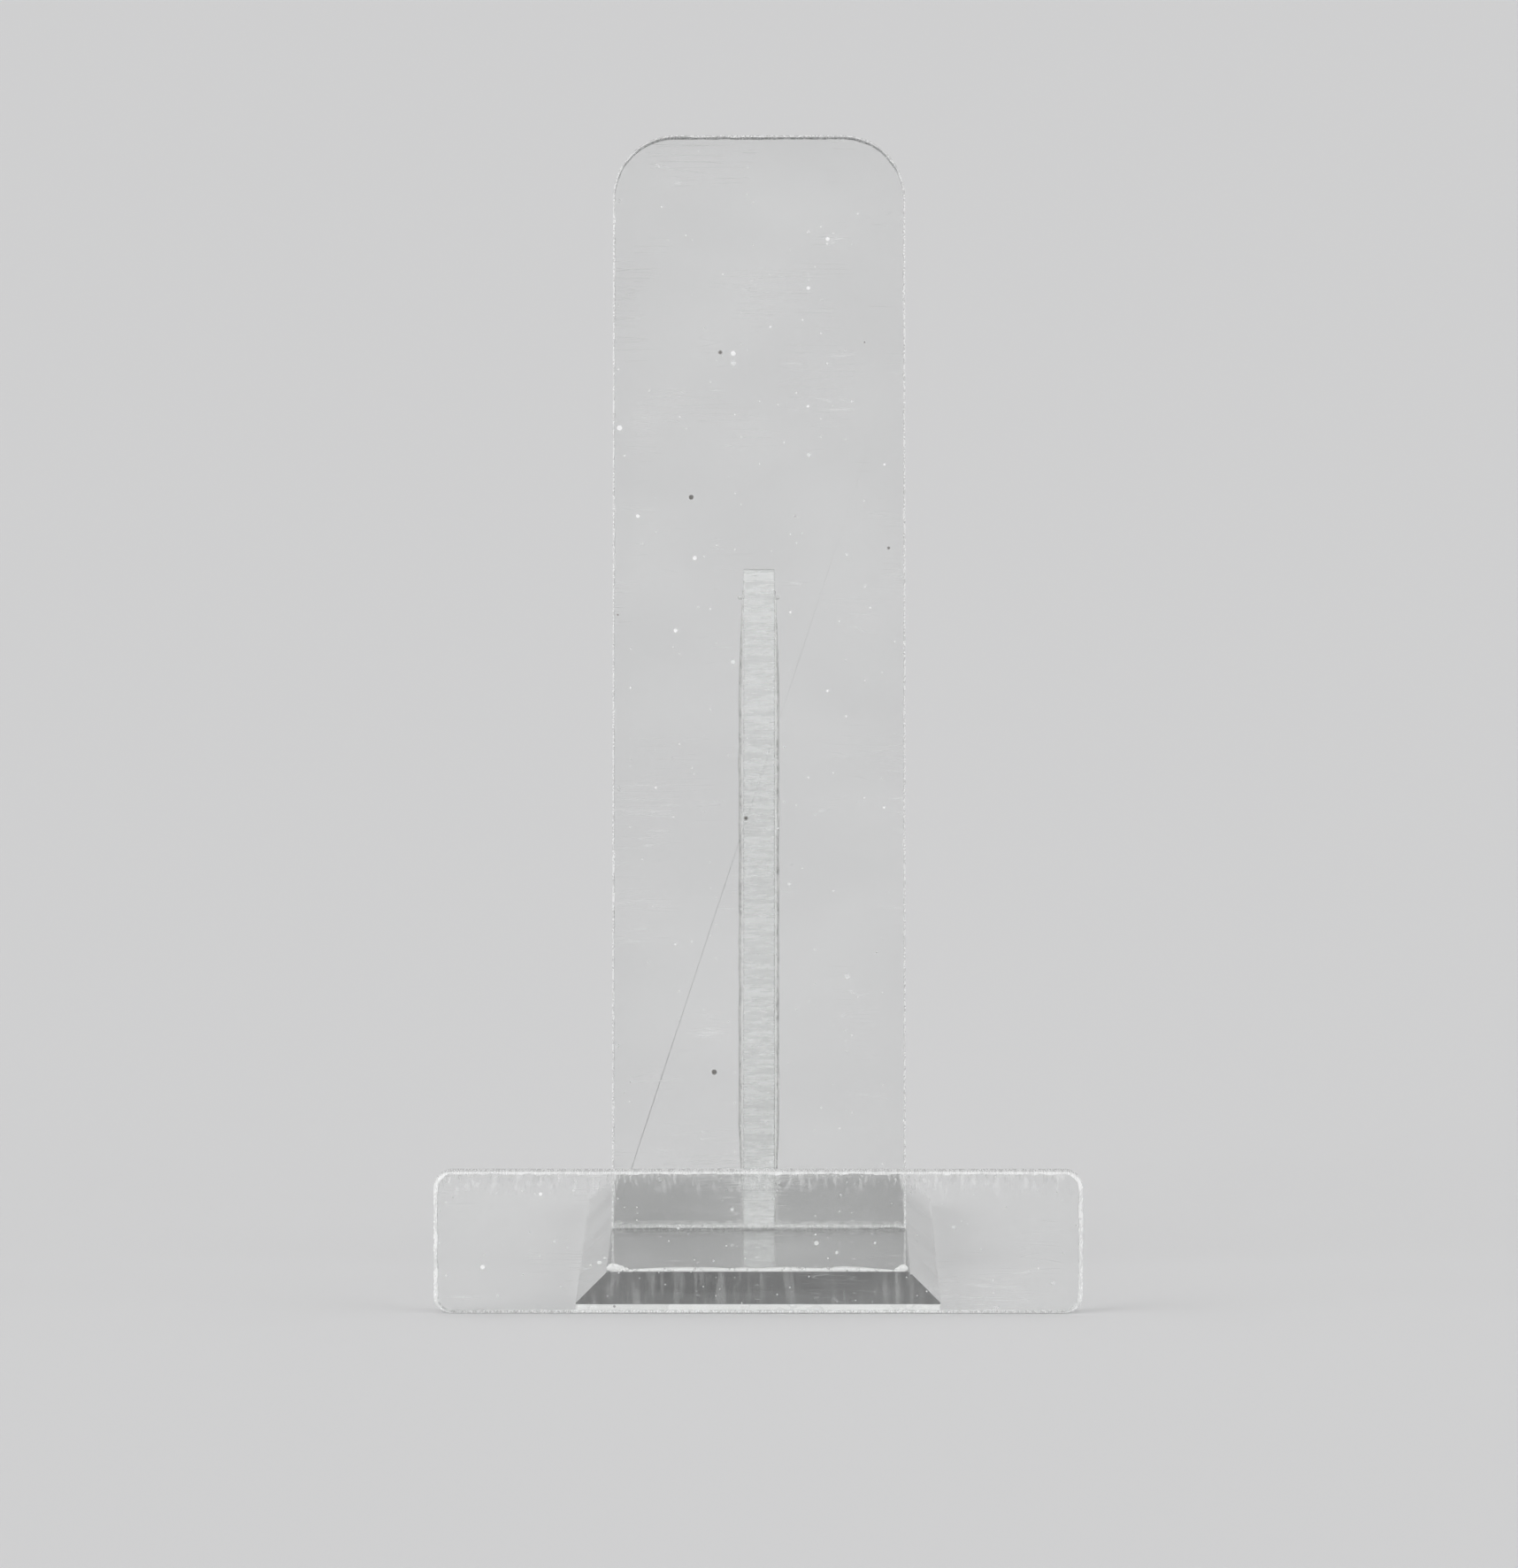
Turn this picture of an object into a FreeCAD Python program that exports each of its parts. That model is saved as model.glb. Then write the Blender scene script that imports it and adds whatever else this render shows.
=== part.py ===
import FreeCAD, Part
import math
import os
from FreeCAD import Vector

# Plate display stand cut from clear acrylic sheet and cemented together.
# An upright lip stands across the front end of a flat base bar, so the stand is
# T-shaped from above. A leaning back rest and a triangular brace stand on the bar.
# Millimetres, +Z up, front faces -Y. The origin is under the middle of the
# bounding box, on the surface that the stand rests on.

# Driving dimensions
SHEET = 3.0                    # thickness of the acrylic sheet
DEPTH = 92.0                   # front of the lip to the rear end of the bar

LIP_WIDTH = 60.0
LIP_HEIGHT = 13.1
LIP_CORNER_RADIUS = 1.6

BAR_WIDTH = 33.8               # across the underside of the bar
BAR_BEVEL = 2.9                # 45 degree bevel on the long edges and the rear end
FILM_THICKNESS = 0.6           # clear anti-slip film under the bar

REST_WIDTH = 28.0
REST_LENGTH = 105.0            # foot to tip, along the slope
REST_LEAN_DEG = 9.0            # from the vertical, leaning away from the plate
REST_FOOT_SETBACK = 38.0       # front of the lip to the front of the rest's foot
REST_TIP_RADIUS = 6.0

GUSSET_FOOT = 40.0             # length of the brace along the bar
GUSSET_HEIGHT = 62.0           # height of the brace up the rest
GUSSET_TIP = 2.5               # width of the two blunted tips

BEAD = 0.6                     # leg of a cured cement fillet
BEAD_CLEARANCE = 0.4           # end of a bead to the nearest corner or edge
ARRIS = 0.2                    # chamfer that breaks the sharp sheet edges

# Derived places
FRONT_Y = -DEPTH / 2
BAR_FRONT_Y = FRONT_Y + SHEET
BAR_REAR_Y = DEPTH / 2
BAR_TOP_Z = FILM_THICKNESS + SHEET
REST_FOOT_Y = FRONT_Y + REST_FOOT_SETBACK
LEAN = math.radians(REST_LEAN_DEG)
UP_REST = Vector(0, math.sin(LEAN), math.cos(LEAN))
REST_REAR_FOOT_Y = REST_FOOT_Y + SHEET / math.cos(LEAN)


def prism(points, direction):
    """Solid swept from a flat polygon along a straight vector."""
    wire = Part.makePolygon(points + [points[0]])
    return Part.Face(wire).extrude(direction)


def rounded_plate(width, height, thickness, bottom_radius, top_radius):
    """Upright plate standing on z = 0, front face on y = 0, with rounded corners."""
    plate = Part.makeBox(width, thickness, height, Vector(-width / 2, 0, 0))
    for level, radius in ((0, bottom_radius), (height, top_radius)):
        if radius > 0:
            corners = [edge for edge in plate.Edges if is_depth_edge_at(edge, level)]
            plate = plate.makeFillet(radius, corners)
    return plate


def is_depth_edge_at(edge, level):
    """True for a straight front-to-back edge lying at the height given."""
    box = edge.BoundBox
    flat = box.XLength < 1e-6 and box.ZLength < 1e-6
    return flat and abs(box.ZMin - level) < 1e-6


def break_edges(plate, lowest):
    """Chamfer the outline of both faces of a plate, above the height given."""
    def on_a_face(edge):
        return edge.BoundBox.YLength < 1e-6 and edge.BoundBox.ZMax > lowest
    return plate.makeChamfer(ARRIS, [edge for edge in plate.Edges if on_a_face(edge)])


def cement_bead(corner, leg_a, leg_b, run):
    """Cured cement in the angle between two faces: a hollow-faced fillet."""
    end_a = corner + leg_a * BEAD
    end_b = corner + leg_b * BEAD
    hollow = corner + (leg_a + leg_b) * (BEAD * 0.32)
    edges = [Part.LineSegment(corner, end_a).toShape(),
             Part.Arc(end_a, hollow, end_b).toShape(),
             Part.LineSegment(end_b, corner).toShape()]
    return Part.Face(Part.Wire(edges)).extrude(run)


def front_lip():
    """Upright plate across the front that stops the dish from sliding off."""
    lip = rounded_plate(LIP_WIDTH, LIP_HEIGHT, SHEET, LIP_CORNER_RADIUS, LIP_CORNER_RADIUS)
    lip = break_edges(lip, -1.0)
    lip.translate(Vector(0, FRONT_Y, 0))
    return lip


def base_bar():
    """Flat bar behind the lip, bevelled along both sides and across its rear end."""
    half, top_half = BAR_WIDTH / 2, BAR_WIDTH / 2 - BAR_BEVEL
    land_z = BAR_TOP_Z - BAR_BEVEL
    section = [Vector(x, BAR_FRONT_Y, z) for x, z in (
        (-half, FILM_THICKNESS), (half, FILM_THICKNESS), (half, land_z),
        (top_half, BAR_TOP_Z), (-top_half, BAR_TOP_Z), (-half, land_z))]
    bar = prism(section, Vector(0, BAR_REAR_Y - BAR_FRONT_Y, 0))
    overshoot = 1.0
    wedge = prism([Vector(-half - overshoot, y, z) for y, z in (
        (BAR_REAR_Y, land_z), (BAR_REAR_Y + overshoot, land_z - overshoot),
        (BAR_REAR_Y + overshoot, BAR_TOP_Z + overshoot),
        (BAR_REAR_Y - BAR_BEVEL - overshoot, BAR_TOP_Z + overshoot))],
        Vector(BAR_WIDTH + 2 * overshoot, 0, 0))
    return bar.cut(wedge)


def anti_slip_film():
    """Thin clear film stuck under the bar."""
    corner = Vector(-BAR_WIDTH / 2, BAR_FRONT_Y, 0)
    return Part.makeBox(BAR_WIDTH, BAR_REAR_Y - BAR_FRONT_Y, FILM_THICKNESS, corner)


def back_rest():
    """Leaning strip that the back of the dish rests against, its foot cut level."""
    spare = SHEET * math.tan(LEAN)
    strip = rounded_plate(REST_WIDTH, REST_LENGTH + spare, SHEET, 0, REST_TIP_RADIUS)
    strip = break_edges(strip, 2 * spare)
    strip.translate(Vector(0, 0, -spare))
    strip.rotate(Vector(0, 0, 0), Vector(1, 0, 0), -REST_LEAN_DEG)
    strip.translate(Vector(0, REST_FOOT_Y, BAR_TOP_Z))
    below = Part.makeBox(2 * REST_WIDTH, 4 * SHEET, SHEET,
                         Vector(-REST_WIDTH, REST_FOOT_Y - SHEET, BAR_TOP_Z - SHEET))
    return strip.cut(below)


def rear_gusset():
    """Triangular brace on the centre line, behind the back rest."""
    def on_rest(height):
        return Vector(-SHEET / 2, REST_REAR_FOOT_Y + height * math.tan(LEAN), BAR_TOP_Z + height)
    heel = on_rest(0)
    toe = heel + Vector(0, GUSSET_FOOT, 0)
    head = on_rest(GUSSET_HEIGHT)
    outline = [heel, toe, toe + Vector(0, 0, GUSSET_TIP), head + Vector(0, GUSSET_TIP, 0), head]
    return prism(outline, Vector(SHEET, 0, 0))


def lip_cement_bead():
    """Bead in the angle between the top of the bar and the back of the lip."""
    half = BAR_WIDTH / 2 - BAR_BEVEL - BEAD_CLEARANCE
    corner = Vector(-half, BAR_FRONT_Y, BAR_TOP_Z)
    return cement_bead(corner, Vector(0, 1, 0), Vector(0, 0, 1), Vector(2 * half, 0, 0))


def back_rest_cement_beads():
    """Behind the rest's foot, one bead each side of the brace. Its front is kept clean."""
    outer = REST_WIDTH / 2 - BEAD_CLEARANCE
    inner = SHEET / 2 + BEAD + BEAD_CLEARANCE
    return Part.makeCompound([
        cement_bead(Vector(x, REST_REAR_FOOT_Y, BAR_TOP_Z),
                    Vector(0, 1, 0), UP_REST, Vector(outer - inner, 0, 0))
        for x in (-outer, inner)])


def gusset_cement_beads():
    """Beads on both sides of the brace, along its foot and up the back of the rest."""
    margin = BEAD + BEAD_CLEARANCE
    foot_run = Vector(0, GUSSET_FOOT - 2 * margin, 0)
    rest_run = UP_REST * (GUSSET_HEIGHT / math.cos(LEAN) - 2 * margin)
    heel = Vector(0, REST_REAR_FOOT_Y, BAR_TOP_Z)
    off_rest = Vector(0, math.cos(LEAN), -math.sin(LEAN))
    beads = []
    for side in (-1, 1):
        outward = Vector(side, 0, 0)
        at_side = heel + outward * (SHEET / 2)
        beads.append(cement_bead(at_side + Vector(0, margin, 0), outward, Vector(0, 0, 1), foot_run))
        beads.append(cement_bead(at_side + UP_REST * margin, outward, off_rest, rest_run))
    return Part.makeCompound(beads)


SUB_PARTS = (front_lip, base_bar, anti_slip_film, back_rest, rear_gusset,
             lip_cement_bead, back_rest_cement_beads, gusset_cement_beads)


def main():
    os.makedirs("parts", exist_ok=True)
    for make in SUB_PARTS:
        shape = make()
        if not shape.isValid() or shape.Volume <= 0:
            raise ValueError(make.__name__ + " is not a valid solid")
        shape.exportStep("parts/" + make.__name__ + ".step")
        box = shape.BoundBox
        print("%-24s solids %d  volume %8.1f  x %.1f..%.1f  y %.1f..%.1f  z %.2f..%.2f" % (
            make.__name__, len(shape.Solids), shape.Volume, box.XMin, box.XMax,
            box.YMin, box.YMax, box.ZMin, box.ZMax))


main()
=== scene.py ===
import math
import random

import bmesh
import bpy
from mathutils import Matrix, Vector, noise


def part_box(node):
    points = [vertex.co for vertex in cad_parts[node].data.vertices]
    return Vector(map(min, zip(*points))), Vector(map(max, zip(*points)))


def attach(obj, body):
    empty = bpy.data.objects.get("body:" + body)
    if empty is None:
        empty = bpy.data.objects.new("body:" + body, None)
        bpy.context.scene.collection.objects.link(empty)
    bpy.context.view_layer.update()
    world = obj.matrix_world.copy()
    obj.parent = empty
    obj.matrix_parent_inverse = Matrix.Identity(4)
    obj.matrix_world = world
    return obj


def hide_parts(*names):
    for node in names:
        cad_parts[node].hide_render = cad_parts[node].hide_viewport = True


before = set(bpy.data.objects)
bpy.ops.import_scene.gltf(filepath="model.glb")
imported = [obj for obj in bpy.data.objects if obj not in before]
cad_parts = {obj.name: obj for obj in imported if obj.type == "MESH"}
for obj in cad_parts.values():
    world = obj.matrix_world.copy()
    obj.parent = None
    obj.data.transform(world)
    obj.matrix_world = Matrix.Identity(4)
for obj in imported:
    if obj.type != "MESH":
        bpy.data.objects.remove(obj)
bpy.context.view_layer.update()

# A clear acrylic plate stand: a lip across the front of a bevelled bar, a leaning back
# rest and a brace, cemented together. Lengths are in metres, worked out from the frame.
MM = 0.001
AIR = 0.02 * MM              # unwetted gap left between two cemented faces
LIP_CORNER = 1.6 * MM        # radii of the rounded corners
REST_CORNER = 6.0 * MM
BRACE_CORNER = 0.8 * MM
CRISP_CORNER = 0.05 * MM
BRACE_TIP = 2.5 * MM         # width of the brace's blunt ends
ARRIS_STEPS = 3              # segments across a softened edge
NICK_SHIFT = 7               # outline points between the nicks of a sheet's two faces
SAW_RIPPLE = 0.012 * MM      # waviness of a cut edge
LIP_BEAD = 0.40 * MM         # legs of the cement fillets
REST_BEAD = 0.45 * MM
BRACE_BEAD = 0.42 * MM

CAMERA_DISTANCE = 1.2        # in front of the lip
CAMERA_PLACE = (2.0 * MM, 141.0 * MM)
AIM_HEIGHT = 45.5 * MM
FLOOR_RADIUS = 12.0
AMBIENT = 0.36

# Soft boxes: direction, cosine where the glow begins, cosine where it is full, strength
SOFT_BOXES = (
    ((-0.75, -0.45, 0.48), 0.86, 0.93, 1.10),
    ((0.80, -0.40, 0.42), 0.88, 0.94, 0.75),
    ((0.0, 0.25, 0.97), 0.80, 0.93, 0.45),
    ((-0.6, -0.8, 0.2), 0.84, 0.94, 0.95),
    ((0.6, -0.8, 0.2), 0.84, 0.94, 0.95),
    ((-1.0, 0.02, 0.2), 0.80, 0.92, 1.15),
    ((1.0, 0.02, 0.2), 0.80, 0.92, 1.15),
)

ACRYLIC_IOR = 1.49
ACRYLIC = (0.98, 0.983, 0.982)
SOOT = (0.16, 0.15, 0.14)
# The acrylic absorbs far more than the real clear sheet does. This is painted shade that darkens long
# paths through the body, such as the bar seen end on, standing in for the shade of a plate resting on the
# stand.
BODY_SHADE_TINT = (0.80, 0.807, 0.804)   # absorption colour of the acrylic body; with the density below it is painted shade
BODY_SHADE_DENSITY = 70.0
random.seed(7)

lip_low, lip_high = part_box("front_lip")
bar_low, bar_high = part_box("base_bar")
rest_low, rest_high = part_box("back_rest")
gusset_low, gusset_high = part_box("rear_gusset")
SHEET = lip_high.y - lip_low.y
BAR_BEVEL = SHEET - 0.1 * MM    # leaves a narrow land under the bevel
REST_LEAN = math.radians(9.0)
ACROSS, BACK, UP = Vector((1, 0, 0)), Vector((0, 1, 0)), Vector((0, 0, 1))
LEAN_UP = Vector((0, math.sin(REST_LEAN), math.cos(REST_LEAN)))       # along the back rest
LEAN_BACK = Vector((0, math.cos(REST_LEAN), -math.sin(REST_LEAN)))    # square to the back rest


# ---------------------------------------------------------------- node helpers

def new_material(name):
    material = bpy.data.materials.new(name)
    material.use_nodes = True
    material.node_tree.nodes.clear()
    return material, material.node_tree


def add(tree, kind, settings=None, **inputs):
    """Add a node; an input given as a socket is linked, any other is set."""
    made = tree.nodes.new(kind)
    for key, value in (settings or {}).items():
        setattr(made, key, value)
    for key, value in inputs.items():
        socket = made.inputs[int(key[1:])] if key[0] == "i" and key[1:].isdigit() else made.inputs[key]
        if isinstance(value, bpy.types.NodeSocket):
            tree.links.new(value, socket)
        else:
            socket.default_value = value
    return made


def math_node(tree, operation, a, b=0.0, clamp=False):
    return add(tree, "ShaderNodeMath", {"operation": operation, "use_clamp": clamp}, i0=a, i1=b).outputs[0]


def ramp(tree, value, low, high, out_low=0.0, out_high=1.0):
    made = add(tree, "ShaderNodeMapRange", {"interpolation_type": "SMOOTHSTEP"}, i0=value)
    for index, number in ((1, low), (2, high), (3, out_low), (4, out_high)):
        made.inputs[index].default_value = number
    return made.outputs[0]


def millimetres(tree):
    """Object coordinates in millimetres."""
    coordinates = add(tree, "ShaderNodeTexCoord").outputs["Object"]
    scaled = add(tree, "ShaderNodeVectorMath", {"operation": "SCALE"}, i0=coordinates)
    scaled.inputs["Scale"].default_value = 1 / MM
    return scaled.outputs[0]


def stretched(tree, place, scale, turn=(0, 0, 0)):
    made = add(tree, "ShaderNodeMapping", i0=place)
    made.inputs["Rotation"].default_value = [math.radians(angle) for angle in turn]
    made.inputs["Scale"].default_value = scale
    return made.outputs[0]


def clouds(tree, place, scale, detail=2.0):
    made = add(tree, "ShaderNodeTexNoise", i0=place)
    made.inputs["Scale"].default_value = scale
    made.inputs["Detail"].default_value = detail
    return made.outputs[0]


def hairlines(tree, place, turn, density, width):
    """Long thin scratches: contour lines of a noise stretched along one direction."""
    field = clouds(tree, stretched(tree, place, (0.05, 0.5, 1.0), turn), density, 1.0)
    off_contour = math_node(tree, "ABSOLUTE", math_node(tree, "SUBTRACT", field, 0.5))
    line = ramp(tree, off_contour, 0.0, width, 1.0, 0.0)
    patch = ramp(tree, clouds(tree, place, 0.14), 0.54, 0.68)
    return math_node(tree, "MULTIPLY", line, patch)


def specks(tree, place, per_mm, share):
    """Dust: a small dot in the given share of the cells of a Voronoi pattern."""
    cells = add(tree, "ShaderNodeTexVoronoi", i0=place)
    cells.inputs["Scale"].default_value = per_mm
    pick = add(tree, "ShaderNodeSeparateColor", i0=cells.outputs["Color"]).outputs[0]
    radius = ramp(tree, pick, 1.0 - share, 1.0, 0.0, 0.16)
    inside = math_node(tree, "SUBTRACT", radius, cells.outputs["Distance"])
    return ramp(tree, inside, 0.0, 0.04)


# ------------------------------------------------------------------- materials

def clear_solid(tree, shader, tint, absorb_and_shade, density, shadow):
    """Finish a see-through material: body absorption, which in the acrylic is painted shade, and soft
    light through its shadow.
    """
    output = add(tree, "ShaderNodeOutputMaterial")
    light_path = add(tree, "ShaderNodeLightPath")
    through = add(tree, "ShaderNodeBsdfTransparent")
    through.inputs["Color"].default_value = (*shadow, 1)
    mixed = add(tree, "ShaderNodeMixShader", i0=light_path.outputs["Is Shadow Ray"],
                i1=shader.outputs[0], i2=through.outputs[0])
    shader.inputs["Base Color"].default_value = (*tint, 1)
    shader.inputs["IOR"].default_value = ACRYLIC_IOR
    # Volume absorption: real in the cement and the film. In the acrylic it is painted shade, whose strong
    # absorption darkens long paths through the body.
    body = add(tree, "ShaderNodeVolumeAbsorption")
    body.inputs["Color"].default_value = (*absorb_and_shade, 1)
    body.inputs["Density"].default_value = density
    tree.links.new(mixed.outputs[0], output.inputs["Surface"])
    tree.links.new(body.outputs[0], output.inputs["Volume"])


def polished_acrylic(name, veil=0.05, dust=0.35, seed=0.0, soot_share=0.04, scuffed_from=None, smears=0.0):
    """Cast acrylic face: glossy, with hairline scratches, dust and a faint wiped haze.

    scuffed_from is a height in millimetres above which short scuffs run down the face.
    smears is the strength of wiped marks that run up and down the face.
    """
    material, tree = new_material(name)
    here = millimetres(tree)
    place = add(tree, "ShaderNodeVectorMath", {"operation": "ADD"}, i0=here,
                i1=(seed, seed * 0.7, seed * 1.3)).outputs[0]
    wiped_along = stretched(tree, place, (0.5, 0.8, 1.0), (0, 20, 0))
    haze = ramp(tree, clouds(tree, wiped_along, 0.12, 3.0), 0.35, 0.7)
    lines = math_node(tree, "ADD",
                      hairlines(tree, place, (0, 17, 5), 0.9, 0.006),
                      hairlines(tree, place, (0, -52, 40), 0.8, 0.006), clamp=True)
    if scuffed_from is not None:
        height_up = add(tree, "ShaderNodeSeparateXYZ", i0=here).outputs["Z"]
        near_top = ramp(tree, height_up, scuffed_from, scuffed_from + 2.2)
        marks = ramp(tree, clouds(tree, stretched(tree, place, (2.4, 1.0, 0.8)), 0.8, 3.0), 0.53, 0.63)
        lines = math_node(tree, "ADD", lines, math_node(tree, "MULTIPLY", marks, near_top), clamp=True)
    dots = math_node(tree, "ADD", specks(tree, place, 0.55, 0.16),
                     specks(tree, place, 1.7, dust * 0.3), clamp=True)
    soot = specks(tree, stretched(tree, place, (1, 1, 1), (31, 12, 50)), 0.42, soot_share)
    dull = math_node(tree, "ADD", math_node(tree, "MULTIPLY", haze, veil), veil * 0.55)
    dull = math_node(tree, "ADD", dull, math_node(tree, "MULTIPLY", lines, 0.22))
    if smears:
        upright = stretched(tree, place, (1.6, 1.0, 0.22))
        wiped = ramp(tree, clouds(tree, upright, 0.9, 3.0), 0.48, 0.72)
        dull = math_node(tree, "ADD", dull, math_node(tree, "MULTIPLY", wiped, smears))
    spots = math_node(tree, "MAXIMUM", dots, soot)
    dull = math_node(tree, "ADD", dull, math_node(tree, "MULTIPLY", spots, 0.8), clamp=True)
    rough = math_node(tree, "ADD", math_node(tree, "MULTIPLY", haze, 0.05),
                      math_node(tree, "ADD", math_node(tree, "MULTIPLY", spots, 0.35), 0.015))
    height = math_node(tree, "SUBTRACT", math_node(tree, "MULTIPLY", dots, 0.6), lines)
    bump = add(tree, "ShaderNodeBump", Height=height)
    bump.inputs["Strength"].default_value = 0.25
    bump.inputs["Distance"].default_value = 0.01 * MM
    shader = add(tree, "ShaderNodeBsdfPrincipled", Roughness=rough, Normal=bump.outputs[0])
    tree.links.new(math_node(tree, "SUBTRACT", 1.0, dull), shader.inputs["Transmission Weight"])
    # The acrylic's strong body absorption is painted shade.
    clear_solid(tree, shader, ACRYLIC, BODY_SHADE_TINT, BODY_SHADE_DENSITY, (0.94, 0.944, 0.942))
    colour = add(tree, "ShaderNodeMix", {"data_type": "RGBA"}, i0=soot,
                 i6=(*ACRYLIC, 1), i7=(*SOOT, 1)).outputs[2]
    tree.links.new(colour, shader.inputs["Base Color"])
    return material


def sawn_edge(name, across, clear, pitted=0.3):
    """Cut edge of the sheet: fine saw lines run across the thickness, lightly frosted."""
    material, tree = new_material(name)
    place = millimetres(tree)
    coarse = clouds(tree, stretched(tree, place, across), 0.45, 2.0)
    fine = clouds(tree, stretched(tree, place, across), 1.6, 3.0)
    lines = math_node(tree, "ADD", math_node(tree, "MULTIPLY", coarse, 0.5),
                      math_node(tree, "MULTIPLY", fine, 0.5))
    pits = specks(tree, place, 3.5, pitted)
    frost = math_node(tree, "MAXIMUM", ramp(tree, lines, 0.32, 0.68, 0.3, 0.8), pits)
    rough = ramp(tree, frost, 0.0, 1.0, 0.08, 0.4)
    height = math_node(tree, "SUBTRACT", lines, math_node(tree, "MULTIPLY", pits, 0.5))
    bump = add(tree, "ShaderNodeBump", Height=height)
    bump.inputs["Strength"].default_value = 0.2
    bump.inputs["Distance"].default_value = 0.03 * MM
    shader = add(tree, "ShaderNodeBsdfPrincipled", Roughness=rough, Normal=bump.outputs[0])
    see = ramp(tree, frost, 0.0, 1.0, min(1.0, clear + 0.18), clear - 0.12)
    tree.links.new(see, shader.inputs["Transmission Weight"])
    # The acrylic's strong body absorption is painted shade.
    clear_solid(tree, shader, (0.975, 0.98, 0.978), BODY_SHADE_TINT, BODY_SHADE_DENSITY, (0.88, 0.886, 0.883))
    return material


def cured_cement(name, milkiness):
    """Clear solvent cement that has skinned over: milky patches and tiny bubbles."""
    material, tree = new_material(name)
    place = millimetres(tree)
    milk = math_node(tree, "MULTIPLY", ramp(tree, clouds(tree, place, 1.4, 3.0), 0.28, 0.52), milkiness)
    bubbles = math_node(tree, "MULTIPLY", specks(tree, place, 4.5, 0.5), milkiness)
    cloud = math_node(tree, "MAXIMUM", milk, bubbles)
    rough = ramp(tree, cloud, 0.0, 1.0, 0.04, 0.22)
    bump = add(tree, "ShaderNodeBump", Height=clouds(tree, place, 2.2, 2.0))
    bump.inputs["Strength"].default_value = 0.5
    bump.inputs["Distance"].default_value = 0.04 * MM
    shader = add(tree, "ShaderNodeBsdfPrincipled", Roughness=rough, Normal=bump.outputs[0])
    tree.links.new(ramp(tree, cloud, 0.0, 1.0, 0.92, 0.08), shader.inputs["Transmission Weight"])
    clear_solid(tree, shader, (0.98, 0.98, 0.975), (0.9, 0.9, 0.89), 2.0, (0.86, 0.86, 0.855))
    return material


def vinyl_film(name, clear, roughness):
    """Soft clear film: slightly hazy, with trapped air spots where it has not stuck."""
    material, tree = new_material(name)
    place = millimetres(tree)
    haze = ramp(tree, clouds(tree, place, 0.2, 3.0), 0.3, 0.7)
    air = ramp(tree, clouds(tree, place, 0.55, 1.0), 0.62, 0.65)
    rough = math_node(tree, "ADD", ramp(tree, haze, 0.0, 1.0, roughness * 0.7, roughness * 1.3),
                      math_node(tree, "MULTIPLY", air, 0.08))
    bump = add(tree, "ShaderNodeBump", Height=clouds(tree, place, 2.5, 2.0))
    bump.inputs["Strength"].default_value = 0.35
    bump.inputs["Distance"].default_value = 0.03 * MM
    shader = add(tree, "ShaderNodeBsdfPrincipled", Roughness=rough, Normal=bump.outputs[0])
    see = math_node(tree, "SUBTRACT", ramp(tree, haze, 0.0, 1.0, clear + 0.04, clear - 0.04),
                    math_node(tree, "MULTIPLY", air, 0.06))
    tree.links.new(see, shader.inputs["Transmission Weight"])
    clear_solid(tree, shader, (0.97, 0.97, 0.965), (0.85, 0.855, 0.85), 4.0, (0.93, 0.934, 0.93))
    return material


# ----------------------------------------------------------------- mesh helpers

def finish_piece(name, mesh_data, materials, node, smooth=False):
    """Turn a bmesh into a piece that stands for a CAD node and rides on the stand."""
    bmesh.ops.recalc_face_normals(mesh_data, faces=mesh_data.faces[:])
    mesh = bpy.data.meshes.new(name)
    mesh_data.to_mesh(mesh)
    mesh_data.free()
    piece = bpy.data.objects.new(name, mesh)
    bpy.context.scene.collection.objects.link(piece)
    for material in materials:
        mesh.materials.append(material)
    if smooth:
        mesh.shade_smooth()
    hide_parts(node)
    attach(piece, "root")
    return piece


def along_polyline(corners, radii, step):
    """Closed outline through the corners, rounded by the radii, as (point, outward) pairs."""
    points = []
    count = len(corners)
    for i, (corner, radius) in enumerate(zip(corners, radii)):
        before = (corners[i - 1] - corner).normalized()
        after = (corners[(i + 1) % count] - corner).normalized()
        half = before.angle(after) / 2
        reach = radius / math.tan(half)
        centre = corner + (before + after).normalized() * (radius / math.sin(half))
        start, end = corner + before * reach - centre, corner + after * reach - centre
        sweep = math.pi - 2 * half
        turns = max(4, int(radius * sweep / step))
        sign = 1.0 if start.cross(end) > 0 else -1.0
        for k in range(turns + 1):
            spun = Matrix.Rotation(sign * sweep * k / turns, 2) @ start
            points.append((centre + spun, spun.normalized()))
        following = corners[(i + 1) % count]
        next_half = (corner - following).normalized().angle(
            (corners[(i + 2) % count] - following).normalized()) / 2
        straight_end = following - after * (radii[(i + 1) % count] / math.tan(next_half))
        straight = straight_end - (centre + end)
        pieces = max(1, int(straight.length / step))
        outward = Vector((straight.y, -straight.x)).normalized() * sign
        for k in range(1, pieces):
            points.append((centre + end + straight * (k / pieces), outward))
    return points


def chips_along(length_count, amount, half_width, deepest):
    """Random nicks as a list of extra arris depth, one for each outline point."""
    depth = [0.0] * length_count
    for _ in range(amount):
        middle = random.randrange(length_count)
        reach = random.uniform(0.4, 1.0) * half_width
        size = random.uniform(0.25, 1.0) * deepest
        for k in range(-int(reach), int(reach) + 1):
            share = 1 - (k / (reach + 1)) ** 2
            index = (middle + k) % length_count
            depth[index] = max(depth[index], size * share * random.uniform(0.6, 1.0))
    return depth


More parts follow.
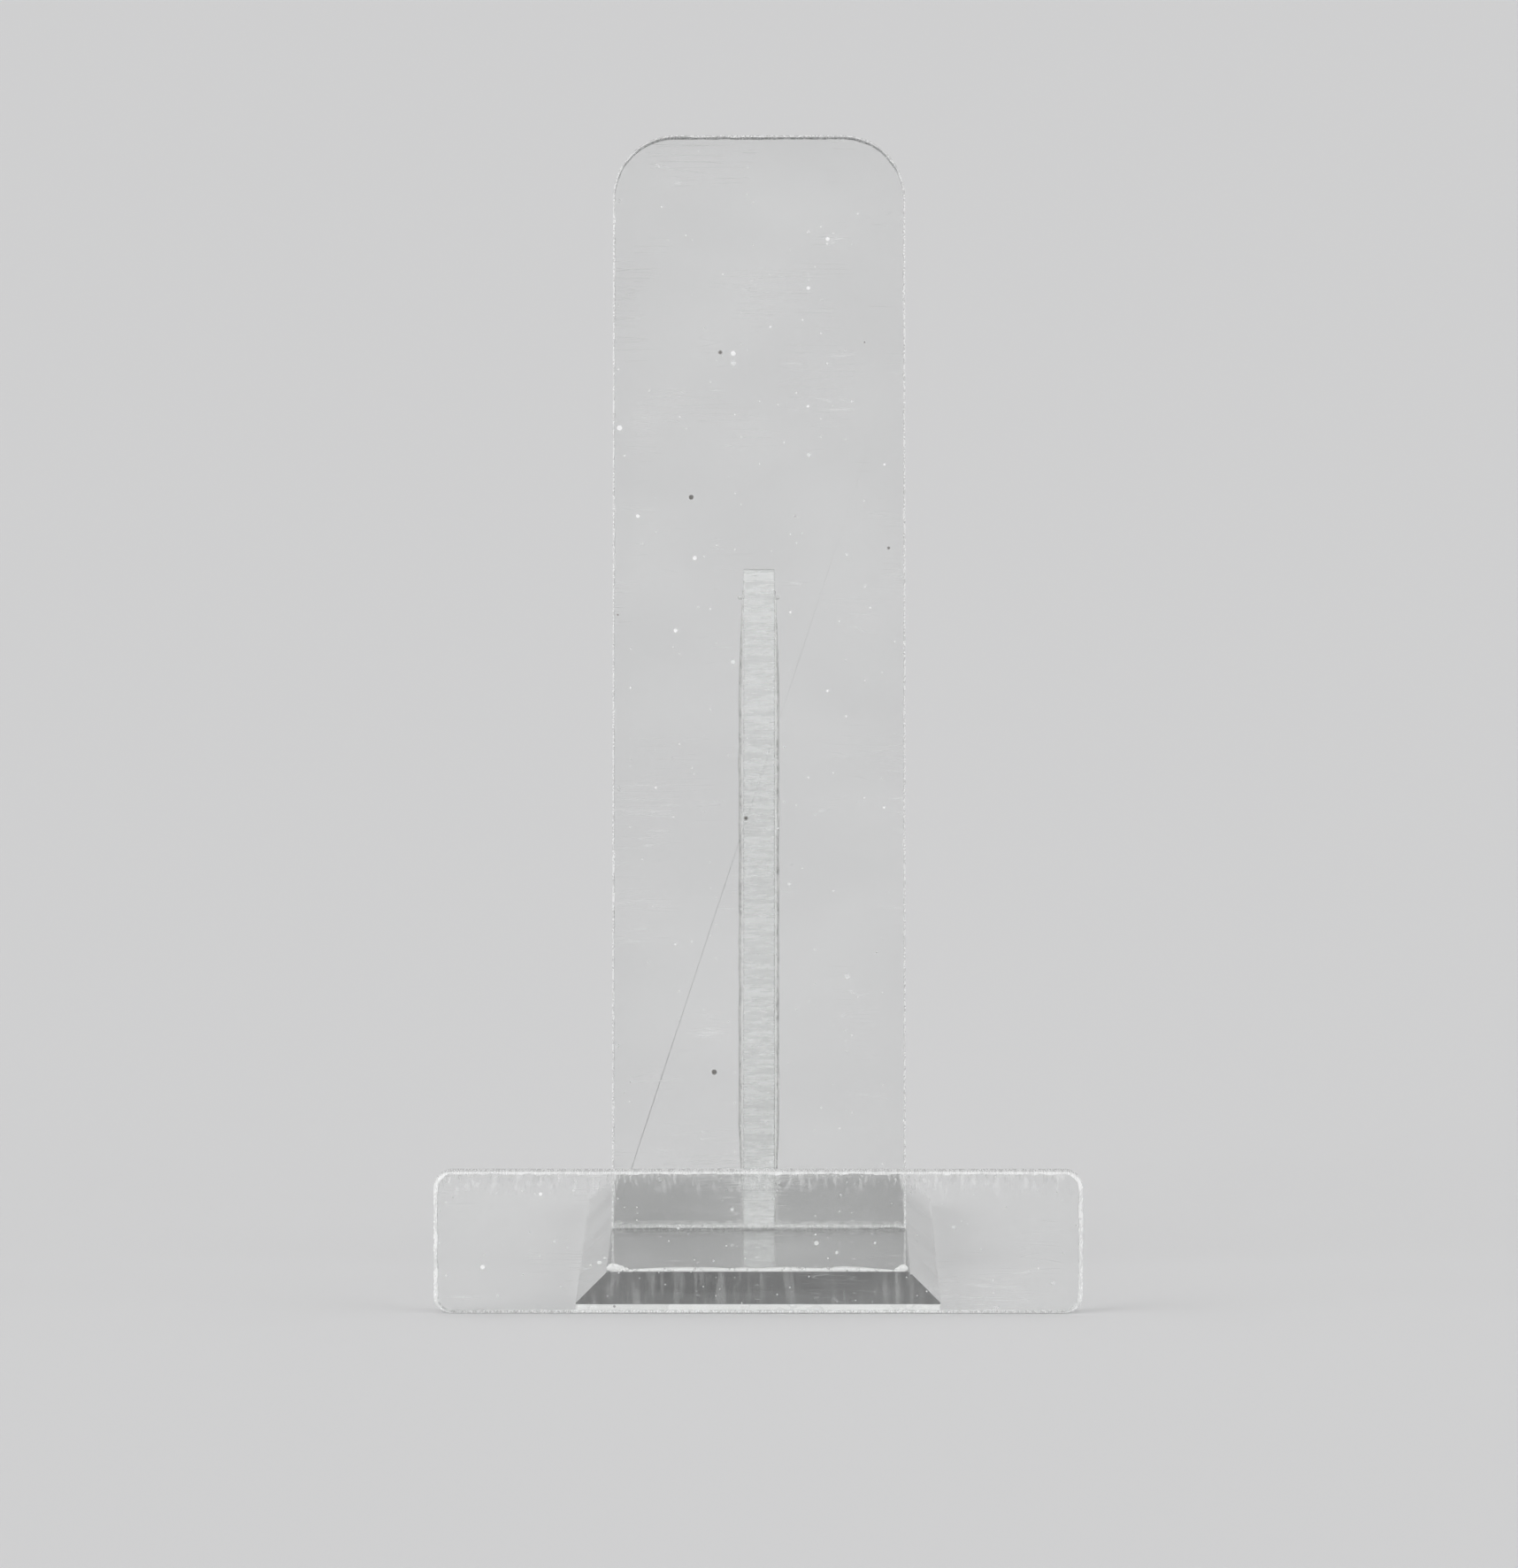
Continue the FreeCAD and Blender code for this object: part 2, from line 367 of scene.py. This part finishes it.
def sheet_part(outline, thickness, to_frame, arris, nicks, waviness=SAW_RIPPLE, edge_rows=4):
    """Flat sheet piece with a rounded, slightly nicked edge. Faces are 0, the cut edge is 1.

    The outline lies in the sheet's front plane, and to_frame takes (u, v, depth) to the
    frame. arris is the edge rounding, as a number or as a function of the outward way.
    """
    made = bmesh.new()
    quarter = [math.pi / 2 * k / ARRIS_STEPS for k in range(ARRIS_STEPS + 1)]
    columns = []
    for i, (point, outward) in enumerate(outline):
        wave = 1.0 + 0.3 * noise.noise(Vector((point.x / MM * 0.9, point.y / MM * 0.9, 0.3)))
        size = (arris(outward) if callable(arris) else arris) * wave
        front_cut = min(size + nicks[i], thickness * 0.4)
        rear_cut = min(size + nicks[i - NICK_SHIFT] * 0.5, thickness * 0.4)
        profile = [(front_cut * (1 - math.sin(t)), front_cut * (1 - math.cos(t))) for t in quarter]
        for row in range(1, edge_rows):
            ripple = noise.noise(Vector((point.x / MM * 2.1, point.y / MM * 2.1, row * 0.8)))
            depth = front_cut + (thickness - front_cut - rear_cut) * row / edge_rows
            profile.append((waviness * (1 + ripple), depth))
        profile += [(rear_cut * (1 - math.cos(t)), thickness - rear_cut * (1 - math.sin(t)))
                    for t in quarter]
        columns.append([made.verts.new(to_frame @ Vector((*(point - outward * inset), depth)))
                        for inset, depth in profile])
    made.faces.new([column[0] for column in columns])
    made.faces.new([column[-1] for column in reversed(columns)])
    for i, column in enumerate(columns):
        following = columns[(i + 1) % len(columns)]
        for row in range(len(column) - 1):
            face = made.faces.new((column[row], column[row + 1], following[row + 1], following[row]))
            face.material_index = 1
            face.smooth = True
    return made


def droplet(made, centre, radius):
    """Slightly lumpy blob of cement, wider along x, added to a bmesh."""
    ball = bmesh.ops.create_icosphere(made, subdivisions=3, radius=radius)
    for vertex in ball["verts"]:
        lump = 1 + 0.25 * noise.noise(vertex.co / MM * 2.2 + centre / MM)
        vertex.co = centre + Vector((vertex.co.x * 1.35, vertex.co.y, vertex.co.z * 0.9)) * lump


def cement_run(made, start, run, leg_a, leg_b, size, blobs, stations=90, uneven=0.2):
    """Irregular hollow-faced fillet along a corner, added to a bmesh.

    blobs are pairs of a place along the run, from 0 to 1, and a radius in millimetres.
    """
    rows = []
    profile = ((1.0, 0.0), (0.62, 0.12), (0.38, 0.38), (0.12, 0.62), (0.0, 1.0), (0.0, 0.0))
    key = start.x / MM + start.y / MM
    for i in range(stations + 1):
        share = i / stations
        end_taper = min(1.0, 0.15 + 6 * min(share, 1 - share))
        swell = 1 + uneven * noise.noise(Vector((share * run.length / MM * 0.45, key, 0.0)))
        leg = size * end_taper * swell
        rows.append([made.verts.new(start + run * share + leg_a * (leg * a) + leg_b * (leg * b))
                     for a, b in profile])
    for i in range(stations):
        for k in range(len(profile)):
            n = (k + 1) % len(profile)
            made.faces.new((rows[i][k], rows[i][n], rows[i + 1][n], rows[i + 1][k]))
    made.faces.new(rows[0])
    made.faces.new(list(reversed(rows[-1])))
    for share, radius in blobs:
        droplet(made, start + run * share + (leg_a + leg_b) * (radius * 0.75 * MM), radius * MM)


# ---------------------------------------------------------------------- pieces

def rectangle(half, height):
    """Corners of an upright rectangle that stands on v = 0, anticlockwise from bottom left."""
    return [Vector((-half, 0)), Vector((half, 0)), Vector((half, height)), Vector((-half, height))]


def axes_to_frame(origin, u_axis, v_axis, depth_axis):
    """Matrix that takes a sheet's (u, v, depth) to the frame."""
    columns = Matrix((u_axis, v_axis, depth_axis)).transposed().to_4x4()
    return Matrix.Translation(origin) @ columns


def build_front_lip():
    half, height = (lip_high.x - lip_low.x) / 2, lip_high.z - lip_low.z
    outline = along_polyline(rectangle(half, height), [LIP_CORNER] * 4, 0.16 * MM)
    nicks = chips_along(len(outline), amount=150, half_width=4, deepest=0.16 * MM)
    for i, (point, _) in enumerate(outline):    # only the top edge is badly nicked
        if point.y < height - 0.5 * MM:
            nicks[i] *= 0.1
    place = axes_to_frame(Vector((0, lip_low.y, lip_low.z)), ACROSS, UP, BACK)

    def arris(outward):
        """The sides are rounded most, and the bottom edge least."""
        return (0.11 + 0.24 * abs(outward.x) + 0.06 * outward.y) * MM

    made = sheet_part(outline, SHEET, place, arris, nicks)
    return finish_piece("clear_front_lip", made, [LIP_FACE, LIP_EDGE], "front_lip")


def build_base_bar():
    made = bmesh.new()
    half, top_half = (bar_high.x - bar_low.x) / 2, (bar_high.x - bar_low.x) / 2 - BAR_BEVEL
    front, rear = bar_low.y + AIR, bar_high.y
    low, land, top = bar_low.z, bar_high.z - BAR_BEVEL, bar_high.z
    levels = ((low, half, rear), (land, half, rear), (top, top_half, rear - BAR_BEVEL))
    rings = [[made.verts.new(p) for p in ((-x, front, z), (x, front, z), (x, y, z), (-x, y, z))]
             for z, x, y in levels]
    made.faces.new(list(reversed(rings[0])))
    made.faces.new(rings[-1])
    for lower, upper in zip(rings, rings[1:]):
        for i in range(4):                      # side 0 is the bar's front end
            n = (i + 1) % 4
            face = made.faces.new((lower[i], lower[n], upper[n], upper[i]))
            face.material_index = 2 if i == 0 else 1
    # All edges are broken except those around the front end and under the bar
    sharp = [e for e in made.edges if any(v.co.y > front + AIR for v in e.verts)
             and abs(e.verts[0].co.z - low) + abs(e.verts[1].co.z - low) > 0.3 * MM]
    bmesh.ops.bevel(made, geom=sharp, offset=0.07 * MM, segments=2, affect="EDGES")
    return finish_piece("clear_base_bar", made, [BAR_FACE, BEVEL_FACE, BAR_END], "base_bar")


def build_film():
    half = (bar_high.x - bar_low.x) / 2
    length = bar_high.y - bar_low.y - AIR
    outline = along_polyline(rectangle(half, length), [0.3 * MM] * 4, 0.5 * MM)
    place = axes_to_frame(Vector((0, bar_low.y + AIR, 0)), ACROSS, BACK, UP)
    made = sheet_part(outline, bar_low.z - AIR, place, 0.05 * MM, [0.0] * len(outline),
                      waviness=0.04 * MM, edge_rows=2)
    return finish_piece("clear_anti_slip_film", made, [FILM_FACE, FILM_EDGE], "anti_slip_film")


def build_back_rest():
    half = (rest_high.x - rest_low.x) / 2
    rise = (rest_high.z - rest_low.z - AIR) / math.cos(REST_LEAN)
    foot = Vector((0, rest_low.y, rest_low.z + AIR))
    outline = along_polyline(rectangle(half, rise), [CRISP_CORNER] * 2 + [REST_CORNER] * 2, 0.3 * MM)
    nicks = chips_along(len(outline), amount=60, half_width=3, deepest=0.10 * MM)
    place = axes_to_frame(foot, ACROSS, LEAN_UP, LEAN_BACK)
    made = sheet_part(outline, SHEET, place, 0.16 * MM, nicks)
    foot_reach = 2 * MM
    for vertex in made.verts:           # the foot is sawn level, so it stands flat on the bar
        height = max(0.0, (vertex.co - foot).dot(LEAN_UP))
        drop = (vertex.co - foot).dot(LEAN_BACK) * math.tan(REST_LEAN)
        if height < foot_reach:
            vertex.co += LEAN_UP * drop * (1 - height / foot_reach)
    return finish_piece("clear_back_rest", made, [REST_FACE, REST_EDGE], "back_rest")


def build_gusset():
    height, foot = gusset_high.z - gusset_low.z, gusset_high.y - gusset_low.y
    top_start = height * math.tan(REST_LEAN)
    corners = [Vector((AIR, AIR)), Vector((foot, AIR)), Vector((foot, BRACE_TIP)),
               Vector((top_start + BRACE_TIP, height)), Vector((top_start + AIR, height))]
    outline = along_polyline(corners, [CRISP_CORNER] + [BRACE_CORNER] * 3 + [CRISP_CORNER], 0.3 * MM)
    nicks = chips_along(len(outline), amount=40, half_width=3, deepest=0.10 * MM)
    place = axes_to_frame(gusset_low.copy(), BACK, UP, ACROSS)
    made = sheet_part(outline, gusset_high.x - gusset_low.x, place, 0.12 * MM, nicks)
    return finish_piece("clear_rear_gusset", made, [GUSSET_FACE, GUSSET_EDGE], "rear_gusset")


def build_lip_cement():
    """Bead in the corner of the bar's top and the lip's back, with stray droplets at its left."""
    low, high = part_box("lip_cement_bead")
    made = bmesh.new()
    end_blobs = ((0.006, 0.46), (0.028, 0.34), (0.05, 0.22), (0.975, 0.22), (0.994, 0.36))
    cement_run(made, Vector((low.x, low.y + AIR, low.z + AIR)), ACROSS * (high.x - low.x),
               BACK, UP, LIP_BEAD, end_blobs, stations=160, uneven=0.3)
    for left, above, radius in ((1.1, 0.85, 0.20), (0.6, 1.25, 0.11), (1.9, 0.6, 0.09)):
        stray = low + Vector((-left, radius, above)) * MM
        droplet(made, stray, radius * MM)
    return finish_piece("cement_behind_lip", made, [MILKY_CEMENT], "lip_cement_bead", True)


def build_rest_cement():
    low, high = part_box("back_rest_cement_beads")
    inner = gusset_high.x + 1.0 * MM
    made = bmesh.new()
    for start_x in (low.x, inner):
        cement_run(made, Vector((start_x, low.y + AIR, low.z + AIR)), ACROSS * (high.x - inner),
                   BACK, LEAN_UP, REST_BEAD, ((0.02, 0.28), (0.97, 0.30)))
    return finish_piece("cement_behind_rest", made, [CLEAR_CEMENT],
                        "back_rest_cement_beads", True)


def build_gusset_cement():
    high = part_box("gusset_cement_beads")[1]
    heel = Vector((0, gusset_low.y, gusset_low.z))
    inset = 1.0 * MM
    foot_run = BACK * (high.y - heel.y - 2 * inset)
    rest_run = LEAN_UP * ((high.z - heel.z) / math.cos(REST_LEAN) - 2 * inset)
    made = bmesh.new()
    for side in (-1, 1):
        outward = ACROSS * side
        at_side = heel + outward * (gusset_high.x + AIR)
        cement_run(made, at_side + BACK * inset + UP * AIR, foot_run,
                   outward, UP, BRACE_BEAD, ((0.01, 0.3), (0.98, 0.3)))
        cement_run(made, at_side + LEAN_UP * inset + LEAN_BACK * AIR, rest_run,
                   outward, LEAN_BACK, BRACE_BEAD, ((0.99, 0.25),), stations=120)
    return finish_piece("cement_along_gusset", made, [CLEAR_CEMENT],
                        "gusset_cement_beads", True)


# ---------------------------------------------------------- stage, light, camera

def build_stage():
    made = bmesh.new()
    bmesh.ops.create_circle(made, cap_ends=True, radius=FLOOR_RADIUS, segments=96)
    mesh = bpy.data.meshes.new("floor")
    made.to_mesh(mesh)
    made.free()
    floor = bpy.data.objects.new("floor", mesh)
    floor.location.z = -0.05 * MM       # just clear of the film and the lip
    bpy.context.scene.collection.objects.link(floor)
    material, tree = new_material("pale_floor")
    shader = add(tree, "ShaderNodeBsdfPrincipled")
    shader.inputs["Base Color"].default_value = (0.74, 0.74, 0.745, 1)
    shader.inputs["Roughness"].default_value = 0.75
    tree.links.new(shader.outputs[0], add(tree, "ShaderNodeOutputMaterial").inputs["Surface"])
    mesh.materials.append(material)


def build_light():
    """Even studio surround with soft boxes in front, overhead and at both sides."""
    world = bpy.data.worlds.new("studio")
    bpy.context.scene.world = world
    world.use_nodes = True
    tree = world.node_tree
    tree.nodes.clear()
    way = add(tree, "ShaderNodeTexCoord").outputs["Generated"]
    total = None
    for direction, edge, core, strength in SOFT_BOXES:
        towards = add(tree, "ShaderNodeVectorMath", {"operation": "DOT_PRODUCT"}, i0=way,
                      i1=Vector(direction).normalized()).outputs["Value"]
        glow = math_node(tree, "MULTIPLY", ramp(tree, towards, edge, core), strength)
        total = glow if total is None else math_node(tree, "ADD", total, glow)
    background = add(tree, "ShaderNodeBackground", Strength=math_node(tree, "ADD", total, AMBIENT))
    background.inputs["Color"].default_value = (1.0, 1.0, 1.0, 1)
    tree.links.new(background.outputs[0], add(tree, "ShaderNodeOutputWorld").inputs["Surface"])


def build_camera():
    data = bpy.data.cameras.new("camera")
    data.lens = 300
    data.sensor_width = 36
    camera = bpy.data.objects.new("camera", data)
    bpy.context.scene.collection.objects.link(camera)
    across, height = CAMERA_PLACE
    camera.location = (across, lip_low.y - CAMERA_DISTANCE, height)
    target = Vector((0.0, 0.0, AIM_HEIGHT))
    camera.rotation_euler = (target - camera.location).to_track_quat("-Z", "Y").to_euler()
    bpy.context.scene.camera = camera


build_camera()
build_light()
build_stage()

LIP_FACE = polished_acrylic("lip_face", veil=0.05, dust=0.5, soot_share=0.08,
                            scuffed_from=lip_high.z / MM - 2.8)
LIP_EDGE = sawn_edge("lip_cut_edge", (4.0, 0.3, 1.2), clear=0.22, pitted=0.1)
BAR_FACE = polished_acrylic("bar_face", veil=0.035, seed=11.0)
BAR_END = polished_acrylic("bar_end", veil=0.012, dust=1.4, seed=5.0, smears=0.13)
BEVEL_FACE = polished_acrylic("bar_bevel", veil=0.20, seed=23.0)
REST_FACE = polished_acrylic("rest_face", veil=0.04, seed=37.0)
REST_EDGE = sawn_edge("rest_cut_edge", (4.0, 0.3, 4.0), clear=0.36, pitted=0.12)
GUSSET_FACE = polished_acrylic("gusset_face", veil=0.04, seed=51.0)
GUSSET_EDGE = sawn_edge("gusset_cut_edge", (0.35, 4.0, 4.0), clear=0.42, pitted=0.12)
MILKY_CEMENT = cured_cement("milky_cement", milkiness=1.0)
CLEAR_CEMENT = cured_cement("clear_cement", milkiness=0.25)
FILM_FACE = vinyl_film("film_face", clear=0.90, roughness=0.10)
FILM_EDGE = vinyl_film("film_edge", clear=0.10, roughness=0.30)

build_front_lip()
build_base_bar()
build_film()
build_back_rest()
build_gusset()
build_lip_cement()
build_rest_cement()
build_gusset_cement()

bpy.context.scene.view_settings.view_transform = "Standard"
